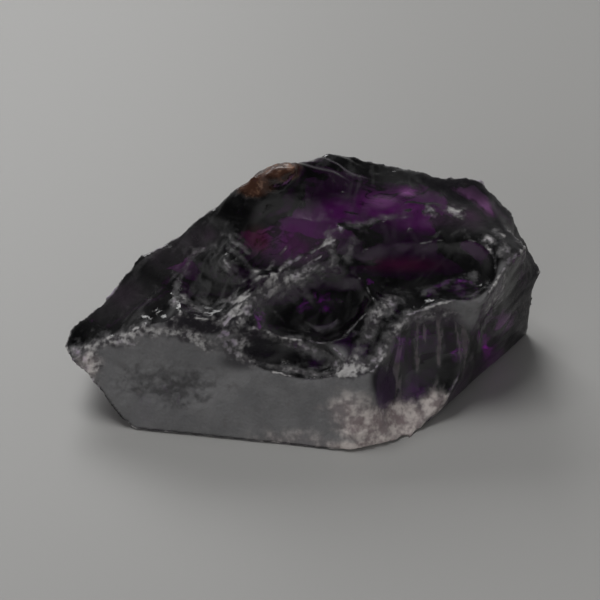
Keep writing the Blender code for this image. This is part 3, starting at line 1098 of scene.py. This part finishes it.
    def _bruise(
        self, points: np.ndarray, uneven: np.ndarray, fine: np.ndarray, broad: np.ndarray
    ) -> np.ndarray:
        """Works out the crushed crystal along ridges, on spots and on seams, with painted glints among the
        spots.

        Args:
            points: The points, in millimetres.
            uneven: A slow noise at each point.
            fine: How far each point stands out from its near neighbours.
            broad: How far it stands out from its wider ones.

        Returns:
            How crushed each point is.
        """
        frayed = self.frayed.at(points)
        ridge = self.fine_ridge.of(fine) + self.broad_share * self.broad_ridge.of(broad)
        bruise_and_glint = ridge * self.ridge_swing.of(uneven)
        for spot in self.bruises_and_glints:
            bruise_and_glint = np.maximum(bruise_and_glint, spot.weight(points) * self.spot_swing.of(frayed))
        strands = self._strands(points)
        for seam in self.seams:
            share = strands if seam.stranded else self.seam_swing.of(uneven)
            bruise_and_glint = np.maximum(bruise_and_glint, seam.weight(points, frayed) * share)
        return bruise_and_glint

    def _strands(self, points: np.ndarray) -> np.ndarray:
        """Draws a noise out into strands along strand_way.

        Args:
            points: The points, in millimetres.

        Returns:
            How plain a strand is at each point, from 0 to 1.
        """
        way = unit(self.strand_way)
        squeezed = points - self.strand_pull * (points @ way)[:, None] * way
        return self.strand_edge.of(self.strand.at(squeezed))

    def _most(self, spots: tuple[Spot, ...], points: np.ndarray) -> np.ndarray:
        """Returns the strongest of spots at each point."""
        return np.max([spot.weight(points) for spot in spots], axis=0)

    def _relief(
        self, points: np.ndarray, normals: np.ndarray, marks: dict[Mark, np.ndarray]
    ) -> np.ndarray:
        """Works out the fine relief.

        Args:
            points: The points, in millimetres.
            normals: The way that the surface faces at each point.
            marks: The marks.

        Returns:
            The rise at each point, in millimetres.
        """
        drift = self.drift.at(points)
        small = self.small.at(points)
        crease = self.crease.creases(points)
        lift = self.drift_rise * drift
        for fan in self.fans:
            lift = lift + fan.lift(points, normals, drift) * (1.0 - marks[Mark.FROST])
        bruise_and_glint = np.clip(marks[Mark.BRUISE], 0.0, 1.0)
        lift = lift + bruise_and_glint * (self.bead_rise * small - self.crack_depth * crease**3)
        lift = lift + marks[Mark.FROST] * self.frost_rise * small
        lift = lift - marks[Mark.PIT] * self.pit_depth * crease**4
        lift = lift + marks[Mark.CRUST] * (self.crust_rise * small - self.crust_sink)
        return lift + marks[Mark.RUST] * self.rust_rise * small

    def dress(self, finish: AmethystFinish) -> None:
        """Gives the lump its finish."""
        self.made.data.materials.append(finish.material())


@dataclass(frozen=True)
class Softbox:
    """A soft light that shines at the lump, in metres."""

    name: str
    at: Place
    size: tuple[float, float]
    brightness: float
    mirrored: bool = True

    def build(self) -> bpy.types.Object:
        """Makes the light.

        Returns:
            The light.
        """
        lamp = bpy.data.lights.new(self.name, "AREA")
        lamp.shape = "RECTANGLE"
        lamp.size, lamp.size_y = self.size
        lamp.energy = self.brightness * math.pi * self.size[0] * self.size[1]
        light = bpy.data.objects.new(self.name, lamp)
        light.location = self.at
        light.rotation_euler = (-Vector(self.at)).to_track_quat("-Z", "Y").to_euler()
        light.visible_glossy = self.mirrored
        bpy.context.scene.collection.objects.link(light)
        return light


@dataclass
class Studio:
    """The pale floor and the soft light around the lump."""

    floor_size: float = 3.0
    floor_below: float = 0.02
    floor_colour: Place = (0.40, 0.396, 0.385)
    floor_roughness: float = 0.5
    skyline: Place = (0.42, 0.42, 0.42)
    zenith: Place = (0.05, 0.05, 0.052)
    skyline_at: float = 0.05
    zenith_at: float = 0.75
    softboxes: tuple[Softbox, ...] = (
        Softbox("back", (-0.22, 0.62, 0.44), (0.42, 0.26), 5.5),
        Softbox("front", (-0.34, -0.62, 0.30), (0.40, 0.24), 2.0, mirrored=False),
        Softbox("above", (-0.20, 0.20, 0.78), (0.36, 0.36), 7.5, mirrored=False),
    )

    def build(self) -> bpy.types.Object:
        """Makes the floor, the sky and the lights.

        Returns:
            The floor.
        """
        floor = self._floor()
        self._sky()
        for softbox in self.softboxes:
            softbox.build()
        return floor

    def _floor(self) -> bpy.types.Object:
        """Makes the floor, just under the lump's base.

        Returns:
            The floor.
        """
        plane = bmesh.new()
        bmesh.ops.create_grid(plane, x_segments=1, y_segments=1, size=self.floor_size / 2)
        bmesh.ops.translate(plane, verts=plane.verts, vec=(0.0, 0.0, -self.floor_below * MM))
        mesh = bpy.data.meshes.new("floor")
        plane.to_mesh(mesh)
        plane.free()
        floor = bpy.data.objects.new("floor", mesh)
        bpy.context.scene.collection.objects.link(floor)
        paint = bpy.data.materials.new("floor_paint")
        recipe = Recipe(paint, "ShaderNodeOutputMaterial")
        sockets = {"Base Color": as_colour(self.floor_colour), "Roughness": self.floor_roughness}
        recipe.finish("Surface", recipe.node("ShaderNodeBsdfPrincipled", None, sockets))
        mesh.materials.append(paint)
        return floor

    def _sky(self) -> None:
        """Gives the scene a sky that is pale at the skyline and dark overhead."""
        world = bpy.data.worlds.new("studio_sky")
        bpy.context.scene.world = world
        recipe = Recipe(world, "ShaderNodeOutputWorld")
        way = recipe.node("ShaderNodeTexCoord", out="Generated")
        height = recipe.node("ShaderNodeSeparateXYZ", None, {"Vector": way}, "Z")
        shade = height.eased(self.skyline_at, self.zenith_at)
        colour = recipe.blend(shade, self.skyline, self.zenith)
        recipe.finish("Surface", recipe.node("ShaderNodeBackground", None, {"Color": colour}))


@dataclass
class Viewpoint:
    """The camera at the angle of the photograph, in metres. Its lens is in millimetres."""

    aim: Place = (-0.00075, -0.00160, 0.0093)
    elevation: float = 36.0
    distance: float = 0.1725
    nearest: float = 0.005
    lens: float = 100.0
    sensor: float = 36.0

    def build(self) -> bpy.types.Object:
        """Makes the camera and gives it to the scene.

        Returns:
            The camera.
        """
        tilt = math.radians(self.elevation)
        back = Vector((0.0, -math.cos(tilt), math.sin(tilt)))
        lens = bpy.data.cameras.new("view")
        lens.lens = self.lens
        lens.sensor_width = self.sensor
        lens.clip_start = self.nearest
        camera = bpy.data.objects.new("view", lens)
        camera.location = Vector(self.aim) + back * self.distance
        camera.rotation_euler = (-back).to_track_quat("-Z", "Y").to_euler()
        bpy.context.scene.collection.objects.link(camera)
        bpy.context.scene.camera = camera
        return camera


def main() -> None:
    """Builds the lump on its frame, the studio and the camera."""
    logging.basicConfig(level=logging.INFO, format="%(name)s: %(message)s")
    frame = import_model()
    Viewpoint().build()
    studio = Studio()
    studio.build()
    bpy.context.scene.view_settings.view_transform = "Standard"
    lump = Lump()
    piece = lump.build(frame["nodes"]["amethyst"])
    lump.dress(AmethystFinish())
    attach(piece, "root")
    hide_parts("amethyst")
    LOG.info("%s: %d points, %d faces", piece.name, len(piece.data.vertices), len(piece.data.polygons))


if __name__ == "__main__":
    main()
